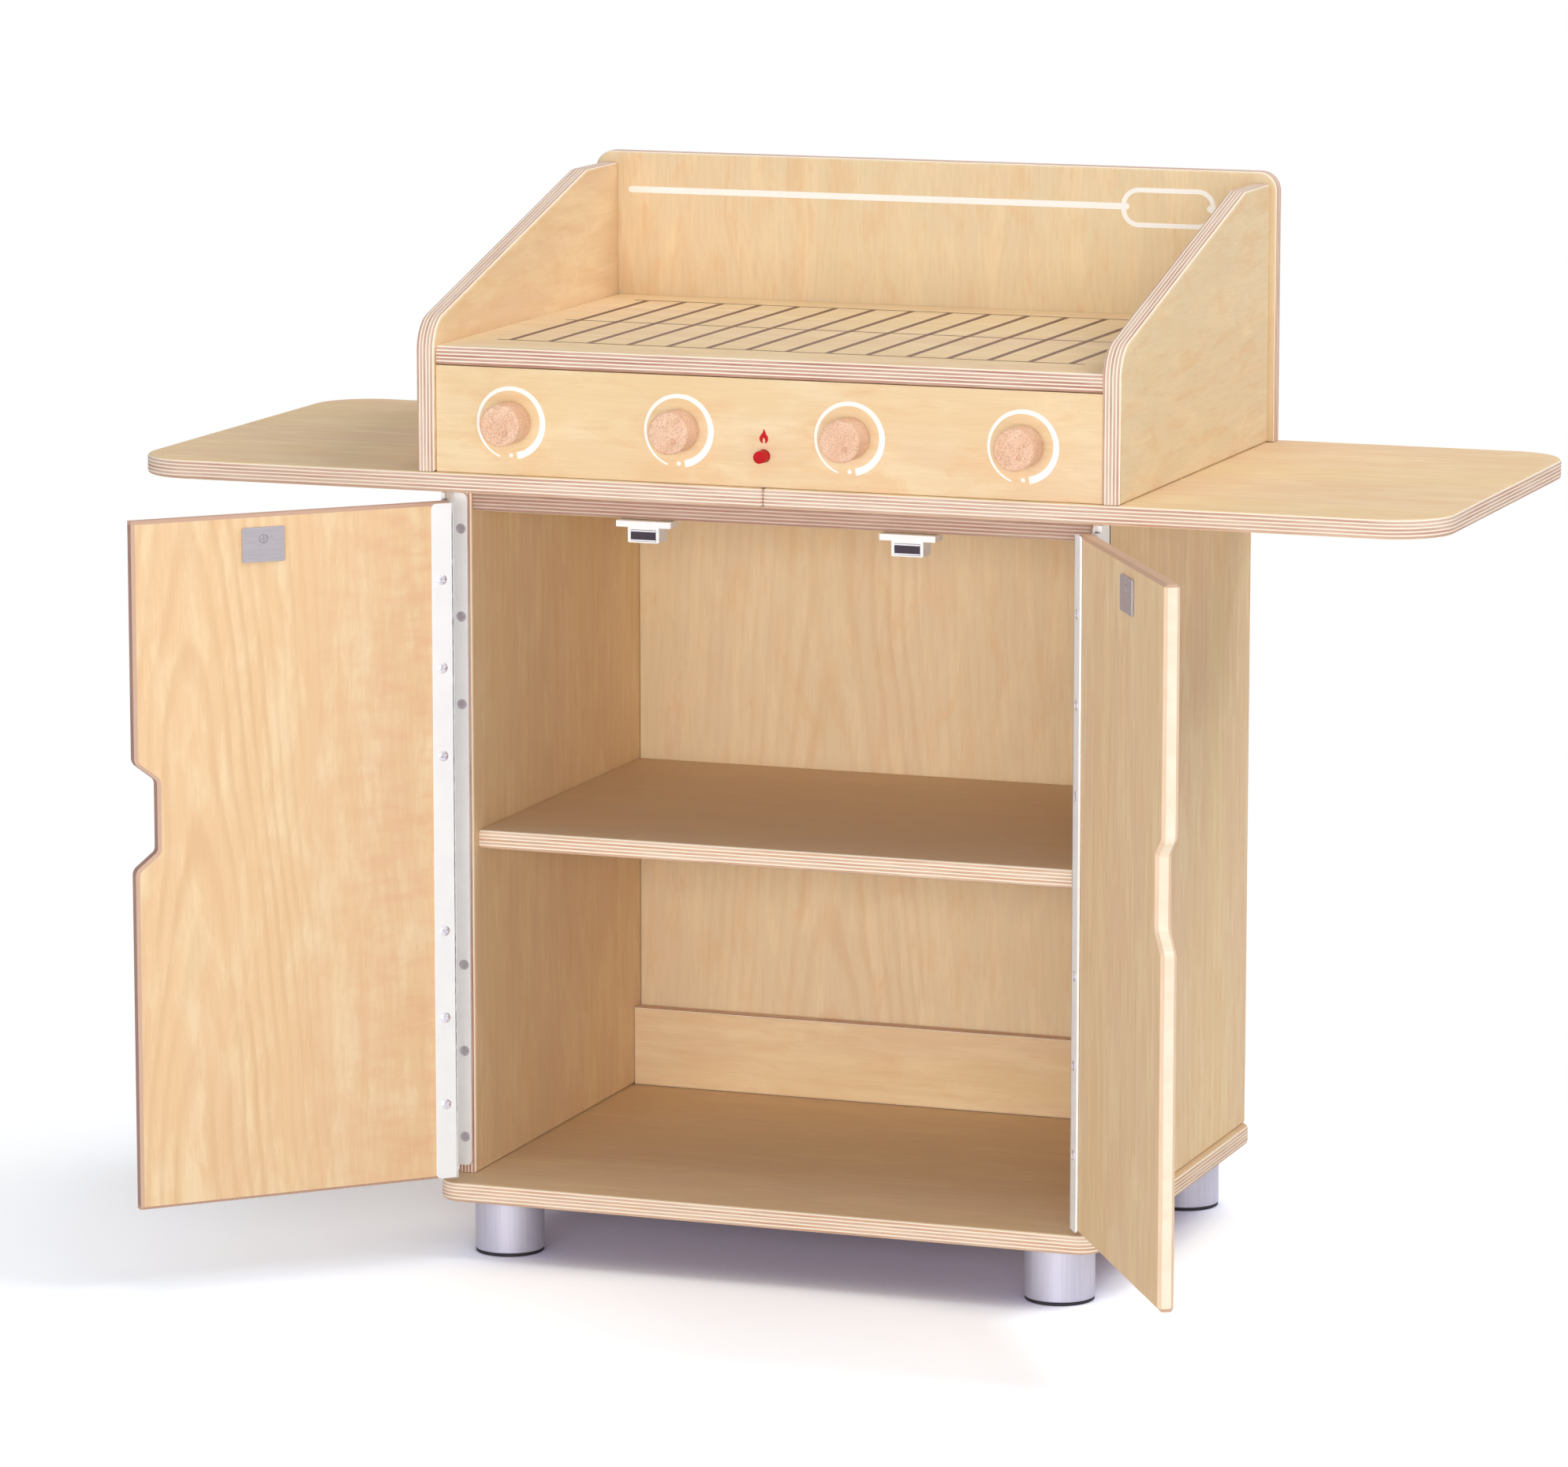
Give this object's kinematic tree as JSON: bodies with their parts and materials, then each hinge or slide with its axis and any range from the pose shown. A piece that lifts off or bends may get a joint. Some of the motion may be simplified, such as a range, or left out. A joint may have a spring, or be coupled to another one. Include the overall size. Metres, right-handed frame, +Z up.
{
  "type": "toy barbecue grill",
  "caption": "Wooden toy barbecue grill: cabinet with two notched doors and a shelf, winged counter, sloping grill box with knobs and a push button.",
  "frame": {"origin": "on the floor, under the middle of the outer box with both doors open as pictured", "axes": "+X to the object's right seen from the front, +Y to its back, +Z up"},
  "size_m": [1.0468, 0.6324, 0.8269],
  "materials": {
    "birch_ply": "clear satin lacquer on birch plywood",
    "door_ply": "clear satin lacquer on birch plywood, chamfered edges",
    "beech": "sanded beech",
    "leg_metal": "satin anodised",
    "steel": "plain steel",
    "hinge_white": "white powder coat",
    "white_plastic": "smooth white plastic",
    "red_plastic": "smooth red plastic",
    "magnet": "black ferrite",
    "glide_black": "black felt or rubber disc"
  },
  "bodies": {
    "cabinet": {"base_board": "birch_ply", "leg_front_left": "leg_metal", "leg_front_right": "leg_metal", "leg_back_left": "leg_metal", "leg_back_right": "leg_metal", "glide_front_left": "glide_black", "glide_front_right": "glide_black", "glide_back_left": "glide_black", "glide_back_right": "glide_black", "cabinet_side_left": "birch_ply", "cabinet_side_right": "birch_ply", "cabinet_top_panel": "birch_ply", "middle_shelf": "birch_ply", "cabinet_back_panel": "birch_ply", "back_rail": "birch_ply", "counter_left": "birch_ply", "counter_right": "birch_ply", "grill_side_left": "birch_ply", "grill_side_right": "birch_ply", "grill_back_panel": "birch_ply", "grill_deck": "birch_ply", "control_panel": "birch_ply", "igniter_barrel": "white_plastic", "catch_housing_left": "white_plastic", "catch_housing_right": "white_plastic", "catch_magnet_left": "magnet", "catch_magnet_right": "magnet", "pole_plate_lower_left": "steel", "pole_plate_lower_right": "steel", "pole_plate_upper_left": "steel", "pole_plate_upper_right": "steel", "hinge_flange_left": "hinge_white", "hinge_flange_right": "hinge_white", "hinge_pin_left": "steel", "hinge_pin_right": "steel"},
    "left_door": {"door_left": "door_ply", "hinge_leaf_left": "hinge_white", "strike_plate_left": "steel"},
    "right_door": {"door_right": "door_ply", "hinge_leaf_right": "hinge_white", "strike_plate_right": "steel"},
    "first_knob": {"knob_1": "beech", "knob_spindle_1": "steel", "knob_retainer_1": "steel"},
    "second_knob": {"knob_2": "beech", "knob_spindle_2": "steel", "knob_retainer_2": "steel"},
    "third_knob": {"knob_3": "beech", "knob_spindle_3": "steel", "knob_retainer_3": "steel"},
    "fourth_knob": {"knob_4": "beech", "knob_spindle_4": "steel", "knob_retainer_4": "steel"},
    "igniter": {"igniter_button": "red_plastic"}
  },
  "joints": [
    {"name": "left_door_hinge", "type": "hinge", "parent": "cabinet", "child": "left_door", "pos_m": [-0.2612, -0.08791, 0.32895], "axis": [0, 0, -1], "range_deg": [-134.6, 120.4]},
    {"name": "right_door_hinge", "type": "hinge", "parent": "cabinet", "child": "right_door", "pos_m": [0.2612, -0.08791, 0.32895], "axis": [0, 0, 1], "range_deg": [-121.5, 133.5]},
    {"name": "knob_1_turn", "type": "hinge", "parent": "cabinet", "child": "first_knob", "pos_m": [-0.20445, -0.09231, 0.6547], "axis": [0, 1, 0], "range_deg": [-319, 30]},
    {"name": "knob_2_turn", "type": "hinge", "parent": "cabinet", "child": "second_knob", "pos_m": [-0.06815, -0.09231, 0.6547], "axis": [0, 1, 0], "range_deg": [-319, 30]},
    {"name": "knob_3_turn", "type": "hinge", "parent": "cabinet", "child": "third_knob", "pos_m": [0.06815, -0.09231, 0.6547], "axis": [0, 1, 0], "range_deg": [-319, 30]},
    {"name": "knob_4_turn", "type": "hinge", "parent": "cabinet", "child": "fourth_knob", "pos_m": [0.20445, -0.09231, 0.6547], "axis": [0, 1, 0], "range_deg": [-319, 30]},
    {"name": "igniter_push", "type": "slide", "parent": "cabinet", "child": "igniter", "axis": [0, 1, 0], "range_m": [0, 0.005], "stiffness_N_per_m": 250, "springref_m": -0.004}
  ]
}
